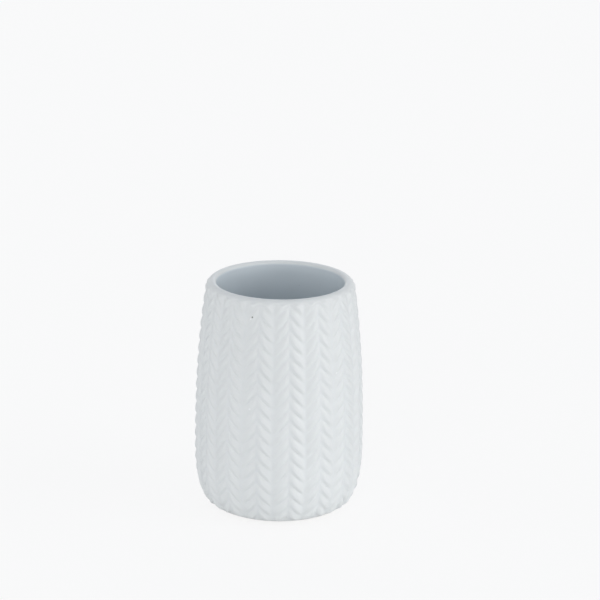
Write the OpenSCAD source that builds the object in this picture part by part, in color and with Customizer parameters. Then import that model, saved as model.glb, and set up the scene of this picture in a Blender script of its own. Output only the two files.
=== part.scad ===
// Bathroom tumbler: a slip-cast ceramic cup with a herringbone of raised leaves
// round its wall, standing on four rubber feet stuck into its hollowed base.
// +Z is up, the origin is on the standing surface under the middle of the cup,
// and -Y is a seam where two columns of leaves meet in a V.

/* [Cup] */
// Height from the standing surface to the top of the lip
overall_h = 110; // [95:1:130]
// Diameter over the leaves at the belly, the widest part
belly_d = 80; // [74:1:96]
// Height of the belly above the standing surface
belly_z = 28; // [20:1:40]
// Bore of the mouth, inside the lip
mouth_d = 60; // [52:1:64]
// Thickness of the wall behind the leaves
wall_t = 3.8; // [2.5:0.1:5]
// Thickness of the floor over the hollowed base
floor_t = 4.2; // [3:0.1:7]
// Diameter of the flat of the floor inside the cup
floor_d = 48; // [40:1:56]

/* [Leaves] */
// Mirrored pairs of leaf columns round the cup
column_pairs = 16; // [10:1:17]
// Distance up the wall from one leaf to the next
leaf_pitch = 6.1; // [5.5:0.05:9]
// How far a leaf drops on its way across its column
leaf_drop = 6.8; // [3:0.1:12]
// Height that the leaves stand out from the wall
leaf_h = 1; // [0.4:0.05:1.4]
// Height of a groove above the lower edge of the leaves, at the seam that the leaves hang from
groove_start = 3.4; // [0:0.1:6]
// Height from the leaves to the top of the lip
lip_band_h = 1.3; // [0.8:0.1:8]
// Plain band between the base ring and the leaves
base_band_h = 0.9; // [0.6:0.1:5]
// Height over which the leaves rise from the band under the lip
lip_fade_h = 0.8; // [0.5:0.1:4]
// Height over which the leaves rise from the band over the base ring
base_fade_h = 1.5; // [0.5:0.1:6]

/* [Lip] */
// Height over which the outside of the lip rounds over
lip_fall_h = 2.2; // [1:0.1:4]
// Height over which the lip rounds down into the bore
lip_inner_h = 1.8; // [1:0.1:4]

/* [Base] */
// Outer diameter of the base ring
base_d = 59; // [50:1:64]
// Width of the base ring
base_ring_w = 3.5; // [2.5:0.1:5]
// Depth of the hollow inside the base ring
hollow_h = 1.4; // [0.8:0.1:1.6]
// Radius where the hollow's side meets its roof
hollow_fillet = 0.6; // [0.3:0.1:0.7]

/* [Feet] */
// Diameter of a foot
foot_d = 10; // [6:0.5:12]
// Thickness of a foot
foot_t = 2; // [1.8:0.1:3]
// Rounding of a foot's lower edge
foot_edge_r = 0.5; // [0.2:0.1:0.8]
// Clearance between a foot and the hollow's side
foot_gap = 1.5; // [0.5:0.1:4]

/* [Hidden] */
FOOT_ANGLES = [-90, 0, 90, 180];

// Levels: the feet carry the cup, so its base ring clears the surface
base_z = foot_t - hollow_h;
hollow_z = foot_t;
floor_z = hollow_z + floor_t;
leaf_low_z = base_z + base_band_h;

leaf_high_z = overall_h - lip_band_h;
lip_fall_z = overall_h - lip_fall_h;
bore_z = overall_h - lip_inner_h;

// Radii: the crest runs over the leaves, the plain bands lie behind it by the height that the leaves
// stand proud of them, and the wall lies a leaf's whole height behind it
band_rise_share = 0.45;
proud_h = leaf_h * (1 - band_rise_share);
belly_r = belly_d / 2;
mouth_r = mouth_d / 2;
shoulder_r = mouth_r + wall_t + leaf_h;
lip_w = shoulder_r - proud_h - mouth_r;
lip_crest_share = 0.4;
lip_inner_w = lip_crest_share * lip_w;
lip_fall_w = lip_w - lip_inner_w;
base_r = base_d / 2;
hollow_r = base_r - base_ring_w;
foot_place_r = hollow_r - foot_gap - foot_d / 2;

// Shape of the curves: how fast the wall draws in above the belly and under it
shoulder_power = 2.3;
base_power = 2.3;
drop_power = 1.16;

// Steps of the mesh: cuts across a leaf column, and rings on each round stretch
column_cuts = 3;
leaf_cuts = 2;
leaf_crest_share = 0.4;
lip_fall_cuts = 3;
lip_inner_cuts = 4;
wall_cuts = 7;
corner_cuts = 6;
fillet_cuts = 3;
lines = 2 * column_pairs * column_cuts;
slope_share = 0.01;
seam_rise_share = 0.2;
snap_share = 0.15;
round_fn = 96;

// Radius over the leaves at a height: from the belly in to the mouth, with the lip falling away at the
// top, and from the belly down to the base ring
function above_belly_r(z) =
    belly_r - (belly_r - shoulder_r) * pow((z - belly_z) / (leaf_high_z - belly_z), shoulder_power);
function lip_fall(z) =
    let (over = max(0, min(1, (z - lip_fall_z) / (lip_fall_h + proud_h))))
    (lip_fall_w + proud_h) * (1 - sqrt(1 - over * over));
function crest_r(z) = z >= belly_z
    ? above_belly_r(z) - lip_fall(z)
    : base_r + (belly_r - base_r)
        * pow(1 - pow((belly_z - z) / (belly_z - base_z), base_power), 1 / base_power);

// Radius inside the cup at a height: the wall's inner face, drawn in to the flat of the floor
function cavity_r(z) = z >= belly_z
    ? above_belly_r(min(z, leaf_high_z)) - leaf_h - wall_t
    : floor_d / 2 + (belly_r - leaf_h - wall_t - floor_d / 2)
        * pow(1 - pow((belly_z - z) / (belly_z - floor_z), base_power), 1 / base_power);

// Slope of the crest, as an outward normal in the plane of radius and height
slope_step = slope_share * leaf_pitch;
function crest_normal(z) =
    let (low = max(z - slope_step, base_z), high = low + 2 * slope_step,
         run = [crest_r(high) - crest_r(low), high - low])
    [run[1], -run[0]] / norm(run);

// Place across a leaf column of a line: 0 at the seam that leaves hang from, 1 at the seam they meet on
function across(line) = abs(1 - (line % (2 * column_cuts)) / column_cuts);
function drop(line) = leaf_drop * (1 - pow(1 - across(line), drop_power));

// Height of a step of a line before it is held between the plain bands
row_count = leaf_cuts * (ceil((leaf_high_z - leaf_low_z + leaf_drop) / leaf_pitch) + 2) + 1;
function leaf_place(row) = floor(row / leaf_cuts) + (row % leaf_cuts == 0 ? 0 : leaf_crest_share) - 1;
function row_z(line, row) = leaf_low_z + groove_start - drop(line) + leaf_pitch * leaf_place(row);

// Steps at which a line leaves the lower band and reaches the upper one
snap_h = snap_share * leaf_pitch;
function first_row(line) =
    max([for (row = [0:row_count - 1]) if (row == 0 || row_z(line, row) <= leaf_low_z + snap_h) row]);
function last_row(line) =
    min([for (row = [0:row_count - 1])
        if (row == row_count - 1 || row_z(line, row) >= leaf_high_z - snap_h) row]);
first_rows = [for (line = [0:lines - 1]) first_row(line)];
last_rows = [for (line = [0:lines - 1]) last_row(line)];
function held_row(line, row) = min(max(row, first_rows[line]), last_rows[line]);

// Share of a leaf's height at a step: none in the grooves, a little on the seams
function rise(line, row) =
    row % leaf_cuts == 0 ? 0
    : across(line) == 0 || across(line) == 1 ? seam_rise_share
    : 1;
function fade(z) =
    max(0, min(1, (z - leaf_low_z) / base_fade_h, (leaf_high_z - z) / lip_fade_h));

function line_angle(line) = 360 * line / lines - 90;
function turned(line, place) =
    [place[0] * cos(line_angle(line)), place[0] * sin(line_angle(line)), place[1]];

// A point of the leafy wall
function leaf_point(line, row) =
    let (held = held_row(line, row),
         z = held == first_rows[line] ? leaf_low_z
             : held == last_rows[line] ? leaf_high_z
             : row_z(line, held),
         raised = band_rise_share + (rise(line, held) - band_rise_share) * fade(z),
         sunk = leaf_h * (1 - raised),
         normal = crest_normal(z))
    turned(line, [crest_r(z) - sunk * normal[0], z - sunk * normal[1]]);

// Outlines of the plain surfaces, from the leaves inwards: over the lip, down the bore and across the
// floor; and under the base ring, up the hollow's side and across its roof
lip_normal = crest_normal(leaf_high_z);
lip_edge = [crest_r(leaf_high_z), leaf_high_z] - proud_h * lip_normal;
lip_corner = [lip_edge[0] - (overall_h - lip_edge[1]) * lip_normal[1] / lip_normal[0], overall_h];
lip_top = [mouth_r + lip_inner_w, overall_h];
fall_outline = [for (i = [1:lip_fall_cuts])
    let (s = i / lip_fall_cuts) pow(1 - s, 2) * lip_edge + 2 * s * (1 - s) * lip_corner + s * s * lip_top];
lip_outline = [for (i = [1:lip_inner_cuts])
    let (a = 90 * i / lip_inner_cuts) lip_top - [lip_inner_w * sin(a), lip_inner_h * (1 - cos(a))]];
bore_outline = [for (i = [1:wall_cuts])
    let (z = bore_z + (belly_z - bore_z) * i / wall_cuts) [cavity_r(z), z]];
corner_outline = [for (i = [1:corner_cuts])
    let (z = floor_z + (belly_z - floor_z) * (1 - sin(90 * i / corner_cuts))) [cavity_r(z), z]];
inner_outline = concat(fall_outline, lip_outline, bore_outline, corner_outline);

base_outline = [[base_r, base_z], [hollow_r, base_z]];
fillet_outline = [for (i = [0:fillet_cuts])
    let (a = 90 * i / fillet_cuts)
    [hollow_r - hollow_fillet * (1 - cos(a)), hollow_z - hollow_fillet * (1 - sin(a))]];
under_outline = concat(base_outline, fillet_outline);

// Numbers of the points: first the leafy wall line by line, then one ring for each outline point
wall_points = [for (line = [0:lines - 1], row = [0:row_count - 1]) leaf_point(line, row)];
function ring_points(outline) =
    [for (place = outline, line = [0:lines - 1]) turned(line, place)];
inner_start = lines * row_count;
under_start = inner_start + lines * len(inner_outline);
function next(line) = (line + 1) % lines;
function wall_number(line, row) = line * row_count + held_row(line, row);
function ring_number(start, ring, line) =
    ring >= 0 ? start + ring * lines + line
    : wall_number(line, start == inner_start ? row_count - 1 : 0);

// Two triangles between four points, leaving out one whose points have run together. On the leafy wall
// the diagonal is the short one, so that columns that lean left and right are mirror images.
function patch(a, b, c, d, short = true) =
    [for (face = short ? [[a, b, c], [a, c, d]] : [[a, b, d], [b, c, d]])
        if (face[0] != face[1] && face[1] != face[2] && face[2] != face[0]) face];
wall_faces = [for (line = [0:lines - 1], row = [0:row_count - 2])
    each patch(wall_number(line, row), wall_number(line, row + 1),
               wall_number(next(line), row + 1), wall_number(next(line), row),
               across(line) < across(next(line)))];
inner_faces = [for (ring = [-1:len(inner_outline) - 2], line = [0:lines - 1])
    each patch(ring_number(inner_start, ring, line),
               ring_number(inner_start, ring + 1, line),
               ring_number(inner_start, ring + 1, next(line)),
               ring_number(inner_start, ring, next(line)))];
under_faces = [for (ring = [-1:len(under_outline) - 2], line = [0:lines - 1])
    each patch(ring_number(under_start, ring, next(line)),
               ring_number(under_start, ring + 1, next(line)),
               ring_number(under_start, ring + 1, line),
               ring_number(under_start, ring, line))];
floor_face = [for (line = [lines - 1:-1:0]) ring_number(inner_start, len(inner_outline) - 1, line)];
roof_face = [for (line = [0:lines - 1]) ring_number(under_start, len(under_outline) - 1, line)];

// The ceramic cup, in one casting
module cup() {
    color("whitesmoke")
        polyhedron(
            points = concat(wall_points, ring_points(inner_outline), ring_points(under_outline)),
            faces = concat(wall_faces, inner_faces, under_faces, [floor_face, roof_face]),
            convexity = 10);
}

// One rubber foot, its lower edge rounded, stuck to the roof of the hollow
module foot(angle) {
    color("gainsboro")
        rotate([0, 0, angle])
            translate([foot_place_r, 0, 0])
                rotate_extrude($fn = round_fn) {
                    square([foot_d / 2 - foot_edge_r, foot_t]);
                    translate([0, foot_edge_r])
                        square([foot_d / 2, foot_t - foot_edge_r]);
                    translate([foot_d / 2 - foot_edge_r, foot_edge_r])
                        circle(r = foot_edge_r);
                }
}

cup();
foot(FOOT_ANGLES[0]);  // foot_front
foot(FOOT_ANGLES[1]);  // foot_right
foot(FOOT_ANGLES[2]);  // foot_back
foot(FOOT_ANGLES[3]);  // foot_left
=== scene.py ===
"""The looks of a bathroom tumbler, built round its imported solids.

A cast ceramic cup with a herringbone of raised leaves round its wall, a rounded lip, a smooth bore
and a hollowed base, standing on four rubber feet. Lengths are in metres, +Z is up, and -Y is a seam
where two columns of leaves meet in a V.
"""

import logging
import math
from dataclasses import dataclass
from enum import Enum
from functools import reduce
from typing import Sequence, Union

import bpy
from mathutils import Matrix, Vector


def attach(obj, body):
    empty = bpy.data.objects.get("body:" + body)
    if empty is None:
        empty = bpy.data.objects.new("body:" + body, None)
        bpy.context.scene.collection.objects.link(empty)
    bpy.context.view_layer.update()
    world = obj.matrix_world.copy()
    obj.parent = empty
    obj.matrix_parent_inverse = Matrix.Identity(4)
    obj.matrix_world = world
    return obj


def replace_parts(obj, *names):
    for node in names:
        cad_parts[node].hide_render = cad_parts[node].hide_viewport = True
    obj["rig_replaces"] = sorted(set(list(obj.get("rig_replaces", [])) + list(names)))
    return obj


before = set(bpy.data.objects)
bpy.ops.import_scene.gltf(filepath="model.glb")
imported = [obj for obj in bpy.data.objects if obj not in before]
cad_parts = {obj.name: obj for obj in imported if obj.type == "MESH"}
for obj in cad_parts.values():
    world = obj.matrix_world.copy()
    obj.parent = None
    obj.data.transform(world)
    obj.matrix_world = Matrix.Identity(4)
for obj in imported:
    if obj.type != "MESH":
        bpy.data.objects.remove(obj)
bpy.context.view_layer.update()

MM = 0.001
FULL_TURN = 2 * math.pi
log = logging.getLogger("tumbler")

# What the wall's height mark holds away from the wall
OFF_WALL = -1.0
# The colour sockets of a Mix node, whose names its other kinds share
MIX_FIRST, MIX_SECOND, MIX_RESULT = 6, 7, 2

Point = tuple[float, float]
Span = tuple[float, float]
Colour = tuple[float, float, float]


class Body(Enum):
    """The rigid bodies that pieces ride on."""

    ROOT = "root"


class Slot(Enum):
    """The record's material slots, whose names the pieces' materials bear."""

    GLAZE = "matte_glaze"
    RUBBER = "foot_rubber"


class Solid(Enum):
    """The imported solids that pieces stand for."""

    CUP = "cup"
    FOOT_FRONT = "foot_front"
    FOOT_RIGHT = "foot_right"
    FOOT_BACK = "foot_back"
    FOOT_LEFT = "foot_left"


class Fault(Enum):
    """The small faults that a glaze can have."""

    PINHOLE = "pinhole"
    BEAD = "bead"


class Mark(Enum):
    """Attributes that the cup's mesh carries for its node trees."""

    WALL_HEIGHT = "wall_height"
    LEAF_RISE = "leaf_rise"
    # Runs from 0 on the wall across the lip to 1 in the bore, which is given painted shade
    LINING = "lining"


@dataclass(frozen=True)
class Quantity:
    """A number that a node tree works out. A formula written for plain numbers works on it too.

    Attributes:
        tree: The tree that holds the nodes.
        socket: The output that gives the number.
    """

    tree: bpy.types.NodeTree
    socket: bpy.types.NodeSocket

    def worked(self, operation: str, *values: "Number") -> "Quantity":
        """Adds a math node.

        Args:
            operation: The math node's operation.
            values: The node's inputs, in order.

        Returns:
            The node's result.
        """
        node = self.tree.nodes.new("ShaderNodeMath")
        node.operation = operation
        for place, value in enumerate(values):
            feed(self.tree, node.inputs[place], value)
        return Quantity(self.tree, node.outputs[0])

    def __add__(self, other: "Number") -> "Quantity":
        """Gives the sum."""
        return self.worked("ADD", self, other)

    __radd__ = __add__

    def __sub__(self, other: "Number") -> "Quantity":
        """Gives the difference."""
        return self.worked("SUBTRACT", self, other)

    def __rsub__(self, other: "Number") -> "Quantity":
        """Gives the difference from a plain number."""
        return self.worked("SUBTRACT", other, self)

    def __mul__(self, other: "Number") -> "Quantity":
        """Gives the product."""
        return self.worked("MULTIPLY", self, other)

    __rmul__ = __mul__

    def __truediv__(self, other: "Number") -> "Quantity":
        """Gives the quotient."""
        return self.worked("DIVIDE", self, other)

    def __pow__(self, power: "Number") -> "Quantity":
        """Gives the power."""
        return self.worked("POWER", self, power)

    def __abs__(self) -> "Quantity":
        """Gives the size without its sign."""
        return self.worked("ABSOLUTE", self)

    def fraction(self) -> "Quantity":
        """Gives the part after the point, counted upwards from the whole number below."""
        return self.worked("FRACT", self)

    def no_more_than(self, limit: "Number") -> "Quantity":
        """Gives the smaller of this and the limit."""
        return self.worked("MINIMUM", self, limit)

    def no_less_than(self, limit: "Number") -> "Quantity":
        """Gives the larger of this and the limit."""
        return self.worked("MAXIMUM", self, limit)

    def above(self, limit: "Number") -> "Quantity":
        """Gives 1 above the limit and 0 below it."""
        return self.worked("GREATER_THAN", self, limit)

    def eased(self, low: float, high: float) -> "Quantity":
        """Gives a smooth rise from 0 to 1.

        Args:
            low: Where the rise starts.
            high: Where it ends.

        Returns:
            The height of the rise.
        """
        node = self.tree.nodes.new("ShaderNodeMapRange")
        node.interpolation_type = "SMOOTHSTEP"
        feed(self.tree, node.inputs["Value"], self)
        feed(self.tree, node.inputs["From Min"], low)
        feed(self.tree, node.inputs["From Max"], high)
        return Quantity(self.tree, node.outputs["Result"])


Number = Union[float, Quantity]


def feed(tree: bpy.types.NodeTree, target: bpy.types.NodeSocket, source: object) -> None:
    """Links a socket, or sets its value.

    Args:
        tree: The tree that holds the nodes.
        target: The input to fill.
        source: A quantity, an output socket or a plain value.
    """
    if isinstance(source, Quantity):
        source = source.socket
    if isinstance(source, bpy.types.NodeSocket):
        tree.links.new(source, target)
    else:
        target.default_value = source


def add_node(
    tree: bpy.types.NodeTree, kind: str, /, settings: dict | None = None, **inputs: object
) -> bpy.types.Node:
    """Adds a node and fills its inputs.

    Args:
        tree: The tree to add to.
        kind: The node's type.
        settings: Properties of the node, such as its data type.
        inputs: Values or outputs for the inputs, each under its name with _ for a space.

    Returns:
        The node.
    """
    node = tree.nodes.new(kind)
    for name, value in (settings or {}).items():
        setattr(node, name, value)
    for name, value in inputs.items():
        feed(tree, node.inputs[name.replace("_", " ")], value)
    return node


@dataclass(frozen=True)
class LeafPattern:
    """The herringbone of leaves, in mirrored pairs of columns round the wall.

    The sizes may be plain numbers, for setting out a mesh, or a node tree's named inputs.
    """

    pairs: Number = 16
    pitch: Number = 6.1 * MM
    fall: Number = 6.8 * MM
    height: Number = 1.0 * MM
    groove_start: Number = 3.4 * MM
    low_z: Number = 1.5 * MM
    high_z: Number = 108.7 * MM
    lip_fade: Number = 0.8 * MM
    base_fade: Number = 1.5 * MM
    fall_power: float = 1.16
    band_share: float = 0.45
    leaf_crest: float = 0.4
    column_crest: float = 0.47
    leaf_softness: float = 0.05
    leaf_fullness: float = 1.9
    seam_softness: float = 0.1
    seam_fullness: float = 2.5

    def across(self, turn: Number) -> Number:
        """Gives the place across a column: 0 where leaves hang from a seam, 1 where they meet.

        Args:
            turn: The turn round the cup in whole turns from -Y.

        Returns:
            The place.
        """
        pair = turn * self.pairs
        part = pair.fraction() if isinstance(pair, Quantity) else pair - math.floor(pair)
        return abs(1 - 2 * part)

    def drop(self, across: Number) -> Number:
        """Gives how far a leaf has fallen at a place across its column."""
        return self.fall * (1 - (1 - across) ** self.fall_power)

    def phase(self, height: Number, across: Number) -> Number:
        """Gives the place up the pattern, in leaves, with a groove at each whole number."""
        return (height - self.low_z - self.groove_start + self.drop(across)) / self.pitch

    def rise(self, height: Quantity, across: Quantity) -> Quantity:
        """Gives how high the leaves stand at a point, from 0 in a groove to 1 on a crest."""
        along = self.phase(height, across).fraction()
        leaf = self.swell(along, self.leaf_crest, self.leaf_softness, self.leaf_fullness)
        return leaf * self.swell(across, self.column_crest, self.seam_softness, self.seam_fullness)

    @staticmethod
    def swell(place: Quantity, crest: float, softness: float, fullness: float) -> Quantity:
        """Gives a swell between two grooves, each with a soft bottom.

        Args:
            place: The place between the grooves, from 0 to 1.
            crest: The place of the crest.
            softness: The width of a groove's soft bottom, as a share of the way to the crest.
            fullness: How flat the crest is; 1 is a ridge.

        Returns:
            The swell, from 0 in a groove to 1 on the crest.
        """
        away = (place / crest).no_more_than((1 - place) / (1 - crest))
        whole = math.sqrt(1 + softness**2) - softness
        soft = ((away * away + softness**2) ** 0.5 - softness) / whole
        return 1 - (1 - soft) ** fullness


@dataclass(frozen=True)
class Fleck:
    """One small fault of the glaze on the wall.

    Attributes:
        fault: What it is.
        azimuth: Its place round the cup, in degrees from -Y towards +X.
        height: Its height above the standing surface.
        radius: Its radius.
        core: The share of the radius inside which it is at its fullest.
    """

    fault: Fault
    azimuth: float
    height: float
    radius: float
    core: float = 0.45

    def cover(self, tree: bpy.types.NodeTree, place: bpy.types.NodeSocket) -> Quantity:
        """Gives 1 on the fleck and 0 away from it.

        Args:
            tree: The tree to add to.
            place: The coordinates.

        Returns:
            The fleck.
        """
        x, y, z = split(tree, place)
        side = math.radians(self.azimuth)
        aside = x * math.cos(side) + y * math.sin(side)
        outward = x * math.sin(side) - y * math.cos(side)
        over = z - self.height
        off = (aside * aside + over * over) ** 0.5
        return (1 - off.eased(self.core * self.radius, self.radius)) * outward.above(0)


@dataclass(frozen=True)
class MatteGlaze:
    """The matte white glaze, with its pooling between leaves, its faults and the bare base ring.

    It is a shade darker under the lip than low on the wall. Painted shade makes the bore a darker
    bluish grey and the pinholes near black; a painted highlight lightens the inner rounding of the
    lip and gives the beads a glint. Places across the lip run from 0 at the wall to 1 in the bore.
    """

    name: str = "matte_glaze"
    white: Colour = (0.728, 0.744, 0.739)
    pooled: Colour = (0.7255, 0.7435, 0.7435)
    # Painted shade: the bore's darker bluish grey stands in for the shade inside the cup
    lining: Colour = (0.655, 0.715, 0.753)
    # Painted highlight along the inner rounding of the lip
    lip_highlight: Colour = (0.764, 0.783, 0.785)
    biscuit: Colour = (0.74, 0.70, 0.64)
    # Painted shade: the pinholes take this near black
    pit_shade: Colour = (0.16, 0.16, 0.15)
    # Painted highlight: each bead of glaze takes this lighter white as a glint
    bead: Colour = (0.84, 0.85, 0.85)
    pool_reach: float = 0.35
    shaded_bore_start: float = 0.78
    lip_highlight_rise: Span = (0.3, 0.5)
    lip_highlight_fall: Span = (0.55, 0.8)
    roughness: float = 0.5
    roughness_swing: float = 0.12
    biscuit_roughness: float = 0.9
    cloud_size: float = 28 * MM
    cloud_share: float = 0.03
    # Darker towards the top of the wall, by a share that grows with a power of the height
    darkening_height: float = 110 * MM
    top_darkening: float = 0.05
    darkening_power: float = 2.0
    ripple_size: float = 3.2 * MM
    ripple_depth: float = 0.02 * MM
    grain_size: float = 0.5 * MM
    grain_depth: float = 0.006 * MM
    bare_extra_grain: float = 2.0
    pinhole_spacing: float = 6 * MM
    pinhole_radius: float = 0.16 * MM
    pinhole_core: float = 0.5
    pinhole_share: float = 0.16
    pinhole_depth: float = 0.05 * MM
    bead_height: float = 0.12 * MM
    flecks: tuple[Fleck, ...] = (
        Fleck(Fault.PINHOLE, -16.6, 102.0 * MM, 0.5 * MM),
        Fleck(Fault.BEAD, -17.9, 101.1 * MM, 0.5 * MM),
        Fleck(Fault.BEAD, -16.1, 59.0 * MM, 0.6 * MM),
        Fleck(Fault.BEAD, 47.7, 73.7 * MM, 0.7 * MM),
    )
    bare_height: float = 1.1 * MM
    bare_edge: float = 0.25 * MM
    bare_inner_radius: float = 25.9 * MM

    def make(self) -> bpy.types.Material:
        """Makes the material.

        Returns:
            The material.
        """
        material, tree, shader = new_material(self.name)
        place = add_node(tree, "ShaderNodeTexCoord").outputs["Object"]
        clouds = noise(tree, place, self.cloud_size, detail=3)
        ripple = noise(tree, place, self.ripple_size, detail=2)
        grain = noise(tree, place, self.grain_size, detail=4)
        rise = attribute(tree, Mark.LEAF_RISE)
        across_lip = attribute(tree, Mark.LINING)
        lining = across_lip.eased(self.shaded_bore_start, 1)
        lip_highlight_share = across_lip.eased(*self.lip_highlight_rise) * (1 - across_lip.eased(*self.lip_highlight_fall))
        pits = self.pinholes(tree, place)
        pits = pits.no_less_than(self.faults(tree, place, Fault.PINHOLE) * (1 - lining))
        beads = self.faults(tree, place, Fault.BEAD) * (1 - lining)
        bare = self.bare_ring(tree, place)

        colour = mixed(tree, self.pooled, self.white, rise.eased(0.0, self.pool_reach))
        # Painted shade: the bore is mixed to a darker bluish grey
        colour = mixed(tree, colour, self.lining, lining)
        # Painted highlight: the lip's inner rounding is mixed to a lighter white
        colour = mixed(tree, colour, self.lip_highlight, lip_highlight_share)
        colour = scaled(tree, colour, 1 + (clouds - 0.5) * (2 * self.cloud_share))
        # Darker towards the top of the wall, growing with a power of the height
        run = (split(tree, place)[2] / self.darkening_height) ** self.darkening_power
        colour = scaled(tree, colour, 1 - run * self.top_darkening)
        # Painted highlight: the beads are mixed to a lighter white, as a glint
        colour = mixed(tree, colour, self.bead, beads)
        # Painted shade: the pinholes are mixed to near black
        colour = mixed(tree, colour, self.pit_shade, pits)
        colour = mixed(tree, colour, self.biscuit, bare)
        feed(tree, shader.inputs["Base Color"], colour)

        glazed = self.roughness + (clouds - 0.5) * self.roughness_swing
        rougher = self.biscuit_roughness - self.roughness
        feed(tree, shader.inputs["Roughness"], glazed + rougher * bare)
        grain_depth = self.grain_depth * (1 + self.bare_extra_grain * bare)
        relief = ripple * self.ripple_depth + grain * grain_depth
        relief = relief - pits * self.pinhole_depth + beads * self.bead_height
        bump = add_node(tree, "ShaderNodeBump", Strength=1.0, Distance=1.0, Height=relief)
        feed(tree, shader.inputs["Normal"], bump.outputs["Normal"])
        return material

    def faults(
        self, tree: bpy.types.NodeTree, place: bpy.types.NodeSocket, fault: Fault
    ) -> Quantity:
        """Gives 1 on the flecks of one kind and 0 elsewhere.

        Args:
            tree: The tree to add to.
            place: The coordinates.
            fault: The kind.

        Returns:
            The flecks.
        """
        covers = [fleck.cover(tree, place) for fleck in self.flecks if fleck.fault is fault]
        return reduce(Quantity.no_less_than, covers)

    def pinholes(self, tree: bpy.types.NodeTree, place: bpy.types.NodeSocket) -> Quantity:
        """Gives 1 in the few scattered pinholes of the glaze and 0 elsewhere."""
        cells = add_node(tree, "ShaderNodeTexVoronoi", Vector=place, Scale=1 / self.pinhole_spacing)
        red = add_node(tree, "ShaderNodeSeparateColor", Color=cells.outputs["Color"]).outputs["Red"]
        reach = self.pinhole_radius / self.pinhole_spacing
        near = 1 - Quantity(tree, cells.outputs["Distance"]).eased(self.pinhole_core * reach, reach)
        return near * (1 - Quantity(tree, red).above(self.pinhole_share))

    def bare_ring(self, tree: bpy.types.NodeTree, place: bpy.types.NodeSocket) -> Quantity:
        """Gives 1 on the base ring, which is wiped bare of glaze, and 0 elsewhere."""
        x, y, z = split(tree, place)
        radius = (x * x + y * y) ** 0.5
        low = 1 - z.eased(self.bare_height, self.bare_height + self.bare_edge)
        return low * radius.above(self.bare_inner_radius)


@dataclass(frozen=True)
class SoftRubber:
    """The pale rubber of the feet, faintly mottled, with a moulded grain."""

    name: str = "foot_rubber"
    pale: Colour = (0.60, 0.61, 0.61)
    worn: Colour = (0.44, 0.45, 0.45)
    worn_blots: Span = (0.4, 0.65)
    worn_share: float = 0.6
    roughness: float = 0.62
    roughness_swing: float = 0.2
    mottle_size: float = 2.5 * MM
    mottle_share: float = 0.12
    grain_size: float = 0.25 * MM
    grain_depth: float = 0.012 * MM
    worn_height: float = 0.4 * MM

    def make(self) -> bpy.types.Material:
        """Makes the material.

        Returns:
            The material.
        """
        material, tree, shader = new_material(self.name)
        place = add_node(tree, "ShaderNodeTexCoord").outputs["Object"]
        mottle = noise(tree, place, self.mottle_size, detail=3)
        grain = noise(tree, place, self.grain_size, detail=2)
        height = split(tree, place)[2]
        wear = (1 - height.eased(0.0, self.worn_height)) * mottle.eased(*self.worn_blots)
        colour = mixed(tree, self.pale, self.worn, wear * self.worn_share)
        colour = scaled(tree, colour, 1 + (mottle - 0.5) * self.mottle_share)
        feed(tree, shader.inputs["Base Color"], colour)
        roughness = self.roughness + (mottle - 0.5) * self.roughness_swing
        feed(tree, shader.inputs["Roughness"], roughness)
        relief = grain * self.grain_depth
        bump = add_node(tree, "ShaderNodeBump", Strength=1.0, Distance=1.0, Height=relief)
        feed(tree, shader.inputs["Normal"], bump.outputs["Normal"])
        return material


def new_material(name: str) -> tuple[bpy.types.Material, bpy.types.NodeTree, bpy.types.Node]:
    """Makes a material with one main shader.

    Args:
        name: The material's name.

    Returns:
        The material, its tree and its main shader.
    """
    material = bpy.data.materials.new(name)
    material.use_nodes = True
    tree = material.node_tree
    return material, tree, tree.nodes["Principled BSDF"]


def noise(
    tree: bpy.types.NodeTree, place: bpy.types.NodeSocket, size: float, detail: float
) -> Quantity:
    """Gives a soft random pattern from 0 to 1.

    Args:
        tree: The tree to add to.
        place: The coordinates.
        size: The size of its blots.
        detail: The number of finer layers on top.

    Returns:
        The pattern.
    """
    node = add_node(tree, "ShaderNodeTexNoise", Vector=place, Scale=1 / size, Detail=detail)
    return Quantity(tree, node.outputs[0])


def attribute(tree: bpy.types.NodeTree, mark: Mark) -> Quantity:
    """Gives a number that the mesh carries, in a material."""
    node = add_node(tree, "ShaderNodeAttribute", {"attribute_name": mark.value})
    return Quantity(tree, node.outputs["Fac"])


def split(tree: bpy.types.NodeTree, vector: bpy.types.NodeSocket) -> list[Quantity]:
    """Gives a vector's x, y and z."""
    node = add_node(tree, "ShaderNodeSeparateXYZ", Vector=vector)
    return [Quantity(tree, output) for output in node.outputs]


def mixed(
    tree: bpy.types.NodeTree, first: object, second: object, share: Number
) -> bpy.types.NodeSocket:
    """Mixes two colours.

    Args:
        tree: The tree to add to.
        first: The colour at a share of 0.
        second: The colour at a share of 1.
        share: The share of the second.

    Returns:
        The mixed colour.
    """
    node = add_node(tree, "ShaderNodeMix", {"data_type": "RGBA"}, Factor=share)
    for place, colour in ((MIX_FIRST, first), (MIX_SECOND, second)):
        feed(tree, node.inputs[place], (*colour, 1.0) if isinstance(colour, tuple) else colour)
    return node.outputs[MIX_RESULT]


def scaled(
    tree: bpy.types.NodeTree, vector: bpy.types.NodeSocket, level: Quantity
) -> bpy.types.NodeSocket:
    """Gives a vector or a colour times a level."""
    node = add_node(tree, "ShaderNodeVectorMath", {"operation": "SCALE"}, Scale=level)
    feed(tree, node.inputs[0], vector)
    return node.outputs[0]


def grey(level: float) -> Colour:
    """Gives the grey of a level."""
    return (level, level, level)


def eased(value: float) -> float:
    """Gives a smooth rise from 0 at 0 to 1 at 1."""
    held = min(max(value, 0.0), 1.0)
    return held * held * (3 - 2 * held)


def around_axis(radius: float, height: float, turn: float) -> Vector:
    """Gives a point by its radius, its height and its turn from -Y, in whole turns."""
    angle = FULL_TURN * turn
    return Vector((radius * math.sin(angle), -radius * math.cos(angle), height))


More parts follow.
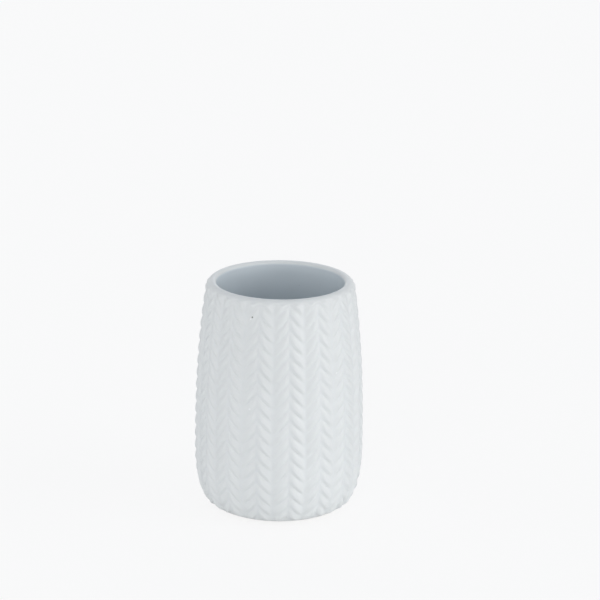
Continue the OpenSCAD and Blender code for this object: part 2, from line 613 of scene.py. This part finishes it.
def quarter_turn(steps: int) -> list[float]:
    """Gives the angles at the ends of a quarter turn's steps."""
    return [math.radians(90 * step / steps) for step in range(1, steps + 1)]


def arc(centre: Point, radius: float, start: float, end: float, steps: int) -> list[Point]:
    """Gives the points of an arc.

    Args:
        centre: The centre, as radius and height.
        radius: The arc's radius.
        start: The first angle in degrees, from outwards towards up.
        end: The last angle.
        steps: The number of steps.

    Returns:
        The points, both ends included.
    """
    angles = [math.radians(start + (end - start) * step / steps) for step in range(steps + 1)]
    return [(centre[0] + radius * math.cos(a), centre[1] + radius * math.sin(a)) for a in angles]


def rounded(before: Point, corner: Point, after: Point, reach: float, steps: int) -> list[Point]:
    """Gives the points that round off a corner of an outline.

    Args:
        before: The point before the corner.
        corner: The corner.
        after: The point after it.
        reach: How far along each side the rounding reaches.
        steps: The number of steps.

    Returns:
        The points, both ends included.
    """
    middle = Vector(corner)
    start = middle + (Vector(before) - middle).normalized() * reach
    end = middle + (Vector(after) - middle).normalized() * reach
    return curved(start, corner, end, steps)


def curved(
    start: Sequence[float], corner: Sequence[float], end: Sequence[float], steps: int
) -> list[Point]:
    """Gives the points of a smooth curve between two ends.

    Args:
        start: The first end.
        corner: The corner that the curve heads for from both ends.
        end: The other end.
        steps: The number of steps.

    Returns:
        The points, both ends included.
    """
    first, middle, last = Vector(start), Vector(corner), Vector(end)
    shares = [step / steps for step in range(steps + 1)]
    curve = [first * (1 - s) ** 2 + middle * (2 * s * (1 - s)) + last * s**2 for s in shares]
    return [(point.x, point.y) for point in curve]


def lathe(name: str, rings: Sequence[Sequence[Vector]]) -> bpy.types.Object:
    """Joins rings of points into a closed shell, with a pole at each end.

    Args:
        name: The object's name.
        rings: The rings from the lower pole to the upper one; a pole is a ring of one point.

    Returns:
        The shell.
    """
    points = [point for ring in rings for point in ring]
    starts = [sum(len(ring) for ring in rings[:place]) for place in range(len(rings))]
    faces: list[tuple[int, ...]] = []
    for low, high in zip(range(len(rings) - 1), range(1, len(rings))):
        count = max(len(rings[low]), len(rings[high]))
        for line in range(count):
            after = (line + 1) % count
            corners = [
                starts[low] + line % len(rings[low]),
                starts[low] + after % len(rings[low]),
                starts[high] + after % len(rings[high]),
                starts[high] + line % len(rings[high]),
            ]
            faces.append(tuple(dict.fromkeys(corners)))
    mesh = bpy.data.meshes.new(name)
    mesh.from_pydata(points, [], faces)
    mesh.update()
    mesh.shade_smooth()
    shell = bpy.data.objects.new(name, mesh)
    bpy.context.scene.collection.objects.link(shell)
    return shell


def made_plain(piece: bpy.types.Object) -> bpy.types.Object:
    """Turns a piece's evaluated shape into its plain mesh and removes its modifiers."""
    graph = bpy.context.evaluated_depsgraph_get()
    mesh = bpy.data.meshes.new_from_object(piece.evaluated_get(graph))
    piece.modifiers.clear()
    piece.data = mesh
    mesh.name = piece.name
    return piece


@dataclass
class Shaping:
    """A Geometry Nodes tree with named inputs, put on a piece as a modifier.

    Attributes:
        name: The tree's name.
        values: The named inputs' values on this piece.
    """

    name: str
    values: dict[str, object]

    def __post_init__(self) -> None:
        """Makes the tree and its named inputs."""
        kinds = {
            int: "NodeSocketInt",
            float: "NodeSocketFloat",
            bpy.types.Material: "NodeSocketMaterial",
        }
        self.tree = bpy.data.node_groups.new(self.name, "GeometryNodeTree")
        side = self.tree.interface
        side.new_socket("Geometry", in_out="INPUT", socket_type="NodeSocketGeometry")
        side.new_socket("Geometry", in_out="OUTPUT", socket_type="NodeSocketGeometry")
        self.keys = {
            name: side.new_socket(name, in_out="INPUT", socket_type=kinds[type(value)]).identifier
            for name, value in self.values.items()
        }
        self.start = self.tree.nodes.new("NodeGroupInput")
        self.end = self.tree.nodes.new("NodeGroupOutput")

    def size(self, name: str) -> Quantity:
        """Gives a named input as a quantity."""
        return Quantity(self.tree, self.start.outputs[name])

    def close(self, geometry: bpy.types.NodeSocket, finish: str) -> None:
        """Ends the tree: instances are made real and the finish is set.

        Args:
            geometry: The finished geometry.
            finish: The named input that holds the material.
        """
        real = add_node(self.tree, "GeometryNodeRealizeInstances", Geometry=geometry)
        dressed = add_node(
            self.tree, "GeometryNodeSetMaterial",
            Geometry=real.outputs[0], Material=self.start.outputs[finish],
        )
        feed(self.tree, self.end.inputs[0], dressed.outputs[0])

    def put_on(self, piece: bpy.types.Object) -> bpy.types.Object:
        """Puts the tree on a piece and makes the result its plain mesh.

        Args:
            piece: The piece to shape.

        Returns:
            The piece.
        """
        modifier = piece.modifiers.new(self.name, "NODES")
        modifier.node_group = self.tree
        for name, value in self.values.items():
            modifier[self.keys[name]] = value
        return made_plain(piece)


@dataclass(frozen=True)
class CastCup:
    """The cast ceramic cup: leafy wall, lip, bore, floor and hollowed base, all one piece."""

    glaze: bpy.types.Material
    leaves: LeafPattern = LeafPattern()
    overall_h: float = 110 * MM
    belly_d: float = 80 * MM
    belly_z: float = 28 * MM
    mouth_d: float = 60 * MM
    wall_t: float = 3.8 * MM
    floor_z: float = 6.2 * MM
    floor_d: float = 48 * MM
    base_z: float = 0.6 * MM
    base_d: float = 59 * MM
    base_ring_w: float = 3.5 * MM
    hollow_z: float = 2 * MM
    hollow_fillet: float = 0.6 * MM
    base_edge: float = 0.7 * MM
    shoulder_power: float = 2.3
    base_power: float = 2.3
    lip_fall_h: float = 2.2 * MM
    lip_inner_h: float = 1.8 * MM
    lip_crest_share: float = 0.4
    unevenness: float = 0.08 * MM
    unevenness_size: float = 14 * MM
    unevenness_seed: int = 7
    lean_reach: float = 13 * MM
    column_steps: int = 10
    leaf_steps: int = 10
    slope_steps: int = 100
    hollow_steps: int = 5
    ring_steps: int = 4
    base_edge_steps: int = 6
    lip_fall_steps: int = 9
    lip_inner_steps: int = 10
    bore_steps: int = 18
    corner_steps: int = 14
    roof_shares: tuple[float, ...] = (0.25, 0.5, 0.75, 0.9)
    floor_shares: tuple[float, ...] = (0.85, 0.6, 0.3)

    @property
    def proud(self) -> float:
        """The height that the leaves stand proud of the plain bands."""
        return self.leaves.height * (1 - self.leaves.band_share)

    @property
    def lip_width(self) -> float:
        """The width of the lip, level with the plain bands."""
        return self.wall_t + self.leaves.height - self.proud

    @property
    def slope_step(self) -> float:
        """Half the short height over which the wall's slope is taken."""
        return self.leaves.pitch / self.slope_steps

    def shoulder_radius(self, height: float) -> float:
        """Gives the radius over the leaves above the belly, before the lip falls away."""
        shoulder = self.mouth_d / 2 + self.wall_t + self.leaves.height
        share = (height - self.belly_z) / (self.leaves.high_z - self.belly_z)
        return self.belly_d / 2 - (self.belly_d / 2 - shoulder) * share**self.shoulder_power

    def crest_radius(self, height: float) -> float:
        """Gives the radius over the leaves at a height."""
        if height >= self.belly_z:
            over = (height - self.overall_h + self.lip_fall_h) / (self.lip_fall_h + self.proud)
            fallen = 1 - math.sqrt(1 - min(max(over, 0.0), 1.0) ** 2)
            reach = self.lip_width * (1 - self.lip_crest_share) + self.proud
            return self.shoulder_radius(height) - reach * fallen
        share = min((self.belly_z - height) / (self.belly_z - self.base_z), 1.0)
        bulge = (1 - share**self.base_power) ** (1 / self.base_power)
        return self.base_d / 2 + (self.belly_d - self.base_d) / 2 * bulge

    def bore_radius(self, height: float) -> float:
        """Gives the radius of the inside at a height."""
        behind = self.leaves.height + self.wall_t
        if height >= self.belly_z:
            return self.shoulder_radius(min(height, self.leaves.high_z)) - behind
        share = (self.belly_z - height) / (self.belly_z - self.floor_z)
        bulge = (1 - share**self.base_power) ** (1 / self.base_power)
        return self.floor_d / 2 + (self.belly_d / 2 - behind - self.floor_d / 2) * bulge

    def wall_point(self, height: float) -> Point:
        """Gives the point of the wall, level with the bands, behind the crest at a height."""
        step = self.slope_step
        low = max(height - step, self.base_z)
        out = self.crest_radius(low + 2 * step) - self.crest_radius(low)
        run = Vector((out, 2 * step)).normalized()
        return self.crest_radius(height) - self.proud * run.y, height + self.proud * run.x

    def wall_levels(self) -> list[float]:
        """Gives the levels of the wall's rows, a set number to each leaf."""
        step = self.leaves.pitch / self.leaf_steps
        low, high = self.leaves.low_z, self.leaves.high_z
        first = low + self.leaves.groove_start - self.leaves.fall / 2
        first += step * math.ceil((low + step / 2 - first) / step)
        count = int((high - step / 2 - first) / step) + 1
        return [low, *(first + step * row for row in range(count)), high]

    def wall_height(self, level: float, turn: float) -> float:
        """Gives the height of a row of the wall, which leans with the leaves away from its ends.

        Args:
            level: The row's level.
            turn: The turn from -Y, in whole turns.

        Returns:
            The height.
        """
        leaves = self.leaves
        above, below = level - leaves.low_z, leaves.high_z - level
        lean = eased(above / self.lean_reach) * eased(below / self.lean_reach)
        return level + lean * (leaves.fall / 2 - leaves.drop(leaves.across(turn)))

    def under_outline(self) -> list[Point]:
        """Gives the outline from under the floor's middle out to the foot of the wall."""
        outer, inner = self.base_d / 2, self.base_d / 2 - self.base_ring_w
        roof, side, ring = (inner, self.hollow_z), (inner, self.base_z), (outer, self.base_z)
        return [
            *((inner * share, self.hollow_z) for share in self.roof_shares),
            *rounded((0.0, self.hollow_z), roof, side, self.hollow_fillet, self.hollow_steps),
            *rounded(roof, side, ring, self.base_edge / 2, self.ring_steps),
            *rounded(
                side, ring, self.wall_point(self.leaves.low_z), self.base_edge, self.base_edge_steps
            ),
        ]

    def lip_outline(self) -> list[Point]:
        """Gives the outline of the lip, from the wall's top over its crest and into the bore."""
        edge = self.wall_point(self.leaves.high_z)
        below = self.wall_point(self.leaves.high_z - 2 * self.slope_step)
        lean = (edge[0] - below[0]) / (edge[1] - below[1])
        corner = (edge[0] + lean * (self.overall_h - edge[1]), self.overall_h)
        width = self.lip_crest_share * self.lip_width
        top = (self.mouth_d / 2 + width, self.overall_h)
        inner = [
            (top[0] - width * math.sin(turn), top[1] - self.lip_inner_h * (1 - math.cos(turn)))
            for turn in quarter_turn(self.lip_inner_steps)
        ]
        return curved(edge, corner, top, self.lip_fall_steps)[1:] + inner

    def inner_outline(self) -> list[Point]:
        """Gives the outline from the lip down the bore and across the floor."""
        start, steps = self.overall_h - self.lip_inner_h, self.bore_steps
        falls = [start + (self.belly_z - start) * step / steps for step in range(1, steps + 1)]
        sweeps = [math.sin(turn) for turn in quarter_turn(self.corner_steps)]
        corner = [self.floor_z + (self.belly_z - self.floor_z) * (1 - sweep) for sweep in sweeps]
        bore = [(self.bore_radius(height), height) for height in falls + corner]
        return [*bore, *((self.floor_d / 2 * share, self.floor_z) for share in self.floor_shares)]

    def blank(self) -> bpy.types.Object:
        """Makes the plain cup, before its leaves are raised.

        Returns:
            The cup.
        """
        lines = 2 * self.leaves.pairs * self.column_steps
        turns = [line / lines for line in range(lines)]
        levels = self.wall_levels()
        heights = [[self.wall_height(level, turn) for turn in turns] for level in levels]
        wall = [
            [around_axis(*self.wall_point(height), turn) for height, turn in zip(row, turns)]
            for row in heights
        ]
        under, lip, inner = (
            [[around_axis(*point, turn) for turn in turns] for point in outline]
            for outline in (self.under_outline(), self.lip_outline(), self.inner_outline())
        )
        poles = [[Vector((0, 0, self.hollow_z))], [Vector((0, 0, self.floor_z))]]
        cup = lathe("cast_cup", [poles[0], *under, *wall, *lip, *inner, poles[1]])
        before, inside = 1 + lines * len(under), 1 + lines * len(inner)
        marks = [OFF_WALL] * before + [height for row in heights for height in row]
        marks += [OFF_WALL] * (lines * len(lip) + inside)
        lining = [0.0] * (before + lines * len(wall))
        lining += [place / len(lip) for place in range(1, len(lip) + 1) for _ in turns]
        lining += [1.0] * inside
        for mark, values in ((Mark.WALL_HEIGHT, marks), (Mark.LINING, lining)):
            cup.data.attributes.new(mark.value, "FLOAT", "POINT").data.foreach_set("value", values)
        return cup

    def leaf_shaping(self) -> Shaping:
        """Makes the tree that raises the leaves from the wall.

        Returns:
            The tree and its values.
        """
        leaves = self.leaves
        shaping = Shaping(
            "raised_leaves",
            {
                "Column Pairs": leaves.pairs,
                "Leaf Pitch": leaves.pitch,
                "Leaf Fall": leaves.fall,
                "Leaf Height": leaves.height,
                "Groove Start": leaves.groove_start,
                "Lower Edge": leaves.low_z,
                "Upper Edge": leaves.high_z,
                "Lip Fade": leaves.lip_fade,
                "Base Fade": leaves.base_fade,
                "Unevenness": self.unevenness,
                "Seed": self.unevenness_seed,
                "Glaze": self.glaze,
            },
        )
        tree, size = shaping.tree, shaping.size
        pattern = LeafPattern(
            size("Column Pairs"), size("Leaf Pitch"), size("Leaf Fall"), size("Leaf Height"),
            size("Groove Start"), size("Lower Edge"), size("Upper Edge"), size("Lip Fade"),
            size("Base Fade"),
        )
        position = add_node(tree, "GeometryNodeInputPosition").outputs[0]
        normal = add_node(tree, "GeometryNodeInputNormal").outputs[0]
        stored = add_node(tree, "GeometryNodeInputNamedAttribute", Name=Mark.WALL_HEIGHT.value)
        height = Quantity(tree, stored.outputs[0])
        x, y, _ = split(tree, position)
        across = pattern.across(x.worked("ARCTAN2", x, y * -1) / FULL_TURN)
        upper = ((pattern.high_z - height) / pattern.lip_fade).eased(0, 1)
        lower = ((height - pattern.low_z) / pattern.base_fade).eased(0, 1)
        rise = (pattern.rise(height, across) - pattern.band_share) * upper * lower

        swing = add_node(
            tree, "ShaderNodeTexNoise", {"noise_dimensions": "4D"},
            Vector=position, W=size("Seed"), Scale=1 / self.unevenness_size,
        )
        swing_height = (Quantity(tree, swing.outputs[0]) - 0.5) * size("Unevenness") * upper * lower
        lift = scaled(tree, normal, rise * pattern.height + swing_height)
        raised = add_node(
            tree, "GeometryNodeSetPosition", Geometry=shaping.start.outputs[0],
            Selection=height.above(0), Offset=lift,
        )
        marked = add_node(
            tree, "GeometryNodeStoreNamedAttribute", Geometry=raised.outputs[0],
            Name=Mark.LEAF_RISE.value, Value=height.above(0) * rise + pattern.band_share,
        )
        shaping.close(marked.outputs[0], "Glaze")
        return shaping

    def build(self) -> bpy.types.Object:
        """Builds the cup and puts it in the place of its solid.

        Returns:
            The cup.
        """
        cup = self.leaf_shaping().put_on(self.blank())
        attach(cup, Body.ROOT.value)
        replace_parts(cup, Solid.CUP.value)
        return cup


@dataclass(frozen=True)
class StickOnFeet:
    """The four rubber feet stuck to the roof of the hollow under the cup."""

    rubber: bpy.types.Material
    count: int = 4
    place_radius: float = 19.5 * MM
    diameter: float = 10 * MM
    thickness: float = 2 * MM
    edge: float = 0.5 * MM
    film_t: float = 0.15 * MM
    film_inset: float = 0.12 * MM
    dimple_radius: float = 2.4 * MM
    dimple_depth: float = 0.25 * MM
    dimple_shares: tuple[float, ...] = (0.3, 0.55, 0.75, 0.9, 1.0)
    edge_steps: int = 6
    film_edge_steps: int = 2
    lines: int = 64

    def one_foot(self) -> bpy.types.Object:
        """Makes one foot on the axis: a dimpled tread, a rounded edge and an adhesive film on top.

        Returns:
            The foot.
        """
        radius = self.diameter / 2
        under_film = self.thickness - self.film_t
        film_r = radius - self.film_inset
        corner = (radius, under_film)
        dimple = [
            (self.dimple_radius * share, self.dimple_depth * (1 - share * share) ** 2)
            for share in self.dimple_shares
        ]
        outline = [
            *dimple,
            (radius - 2 * self.edge, 0.0),
            *arc((radius - self.edge, self.edge), self.edge, -90, 0, self.edge_steps),
            *rounded(
                (radius, 0.0), corner, (0.0, under_film), self.film_inset / 2, self.film_edge_steps
            ),
            (film_r, under_film),
            (film_r, self.thickness),
            (film_r / 2, self.thickness),
        ]
        turns = [line / self.lines for line in range(self.lines)]
        rings = [[around_axis(*point, turn) for turn in turns] for point in outline]
        poles = [[Vector((0, 0, self.dimple_depth))], [Vector((0, 0, self.thickness))]]
        return lathe("stick_on_feet", [poles[0], *rings, poles[1]])

    def placing(self) -> Shaping:
        """Makes the tree that sets copies of a foot round the hollow.

        Returns:
            The tree and its values.
        """
        shaping = Shaping(
            "feet_round_hollow",
            {"Count": self.count, "Place Radius": self.place_radius, "Rubber": self.rubber},
        )
        tree = shaping.tree
        places = add_node(
            tree, "GeometryNodeMeshCircle",
            Vertices=shaping.size("Count"), Radius=shaping.size("Place Radius"),
        )
        feet = add_node(
            tree, "GeometryNodeInstanceOnPoints",
            Points=places.outputs[0], Instance=shaping.start.outputs[0],
        )
        shaping.close(feet.outputs[0], "Rubber")
        return shaping

    def build(self) -> bpy.types.Object:
        """Builds the feet and puts them in the place of their solids.

        Returns:
            The feet.
        """
        feet = self.placing().put_on(self.one_foot())
        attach(feet, Body.ROOT.value)
        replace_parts(feet, *(solid.value for solid in Solid if solid is not Solid.CUP))
        return feet


@dataclass(frozen=True)
class Lamp:
    """A distant soft lamp.

    Attributes:
        name: The lamp's name.
        strength: Its strength.
        azimuth: Where it hangs, in degrees from -Y towards +X.
        elevation: Its height over the horizon, in degrees.
        softness: How wide it looks from the cup, in degrees.
    """

    name: str
    strength: float
    azimuth: float
    elevation: float
    softness: float

    def hang(self, outward: Vector) -> None:
        """Hangs the lamp out in a direction, shining back at the cup.

        Args:
            outward: The direction from the cup to the lamp.
        """
        data = bpy.data.lights.new(self.name, "SUN")
        data.energy = self.strength
        data.angle = math.radians(self.softness)
        lamp = bpy.data.objects.new(self.name, data)
        bpy.context.scene.collection.objects.link(lamp)
        lamp.rotation_euler = outward.to_track_quat("Z", "Y").to_euler()


@dataclass(frozen=True)
class Studio:
    """The pale floor, the soft light and the camera at the photograph's angle."""

    background: float = 0.947
    horizon: Colour = (1.66, 1.66, 1.66)
    zenith: Colour = (0.13, 0.18, 0.25)
    fall_off: float = 1.5
    back_bias: float = 0.44
    flag_depth: float = 0.92
    flag_place: float = -0.55
    flag_reach: float = 0.5
    floor_albedo: float = 0.95
    floor_size: float = 8.0
    floor_glow: float = 0.99
    shadow_share: float = 0.15
    key: Lamp = Lamp("key", strength=0.84, azimuth=78, elevation=9.5, softness=38)
    fill: Lamp = Lamp("fill", strength=0.88, azimuth=-8, elevation=4, softness=50)
    camera_azimuth: float = 4.05
    camera_elevation: float = 19.68
    camera_distance: float = 1042.35 * MM
    camera_roll: float = 0.76
    camera_lens_mm: float = 131.93
    camera_near: float = 10 * MM
    sensor_mm: float = 36.0
    target_right: float = 9.2 * MM
    target_z: float = 100.05 * MM
    middle_z: float = 55 * MM

    def floor(self) -> None:
        """Lays the floor, which a camera sees pale, with a faint shadow."""
        half = self.floor_size / 2
        corners = [(-half, -half, 0), (half, -half, 0), (half, half, 0), (-half, half, 0)]
        mesh = bpy.data.meshes.new("floor")
        mesh.from_pydata(corners, [], [(0, 1, 2, 3)])
        floor = bpy.data.objects.new("floor", mesh)
        bpy.context.scene.collection.objects.link(floor)
        material, tree, shader = new_material("pale_floor")
        feed(tree, shader.inputs["Base Color"], (*grey(self.floor_albedo), 1.0))
        shader.inputs["Roughness"].default_value = 1.0
        shader.inputs["Specular IOR Level"].default_value = 0.0
        glow = add_node(tree, "ShaderNodeEmission", Color=(*grey(self.floor_glow), 1.0))
        rays = add_node(tree, "ShaderNodeLightPath")
        seen = Quantity(tree, rays.outputs["Is Camera Ray"]) * (1 - self.shadow_share)
        blend = add_node(tree, "ShaderNodeMixShader", Fac=seen)
        feed(tree, blend.inputs[1], shader.outputs[0])
        feed(tree, blend.inputs[2], glow.outputs[0])
        feed(tree, tree.nodes["Material Output"].inputs["Surface"], blend.outputs[0])
        mesh.materials.append(material)

    def light(self) -> None:
        """Lights the cup: a pale surround, dark flags behind, a key from the right and a fill."""
        world = bpy.data.worlds.new("pale_surround")
        bpy.context.scene.world = world
        world.use_nodes = True
        tree = world.node_tree
        rays = add_node(tree, "ShaderNodeLightPath")
        x, y, z = split(tree, add_node(tree, "ShaderNodeTexCoord").outputs["Generated"])
        front = self.outward(self.camera_azimuth, 0)
        forward = x * front.x + y * front.y
        off = (forward - self.flag_place) / self.flag_reach
        flags = (1 - off * off).no_less_than(0) * (1 - z) * self.flag_depth
        level = (1 - forward * self.back_bias) * (1 - flags)
        surround = scaled(tree, mixed(tree, self.horizon, self.zenith, z**self.fall_off), level)
        seen = Quantity(tree, rays.outputs["Is Camera Ray"])
        colour = mixed(tree, surround, grey(self.background), seen)
        feed(tree, tree.nodes["Background"].inputs["Color"], colour)
        for lamp in (self.key, self.fill):
            lamp.hang(self.outward(lamp.azimuth, lamp.elevation))

    @staticmethod
    def outward(azimuth: float, elevation: float) -> Vector:
        """Gives the direction out to an azimuth from -Y towards +X and an elevation, in degrees."""
        side, rise = math.radians(azimuth), math.radians(elevation)
        level = math.cos(rise)
        return Vector((math.sin(side) * level, -math.cos(side) * level, math.sin(rise)))

    def camera(self) -> None:
        """Sets up the camera at the photograph's angle."""
        data = bpy.data.cameras.new("camera")
        data.sensor_width = self.sensor_mm
        data.lens = self.camera_lens_mm
        data.clip_start = self.camera_near
        camera = bpy.data.objects.new("camera", data)
        bpy.context.scene.collection.objects.link(camera)
        away = self.outward(self.camera_azimuth, self.camera_elevation)
        aside = self.outward(self.camera_azimuth + 90, 0)
        place = Vector((0, 0, self.middle_z)) + self.camera_distance * away
        target = self.target_right * aside + Vector((0, 0, self.target_z))
        aim = (place - target).to_track_quat("Z", "Y").to_matrix()
        roll = Matrix.Rotation(math.radians(self.camera_roll), 3, "Z")
        camera.matrix_world = Matrix.Translation(place) @ (aim @ roll).to_4x4()
        bpy.context.scene.camera = camera


def main() -> None:
    """Builds the stage and the tumbler's pieces in order and reports each."""
    logging.basicConfig(level=logging.INFO, format="%(name)s: %(message)s")
    bpy.context.scene.view_settings.view_transform = "Standard"
    studio = Studio()
    studio.camera()
    studio.floor()
    studio.light()
    pieces = [CastCup(MatteGlaze().make()).build(), StickOnFeet(SoftRubber().make()).build()]
    for piece in pieces:
        faces, solids = len(piece.data.polygons), list(piece["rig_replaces"])
        log.info("%s: %d faces, stands for %s", piece.name, faces, solids)


if __name__ == "__main__":
    main()
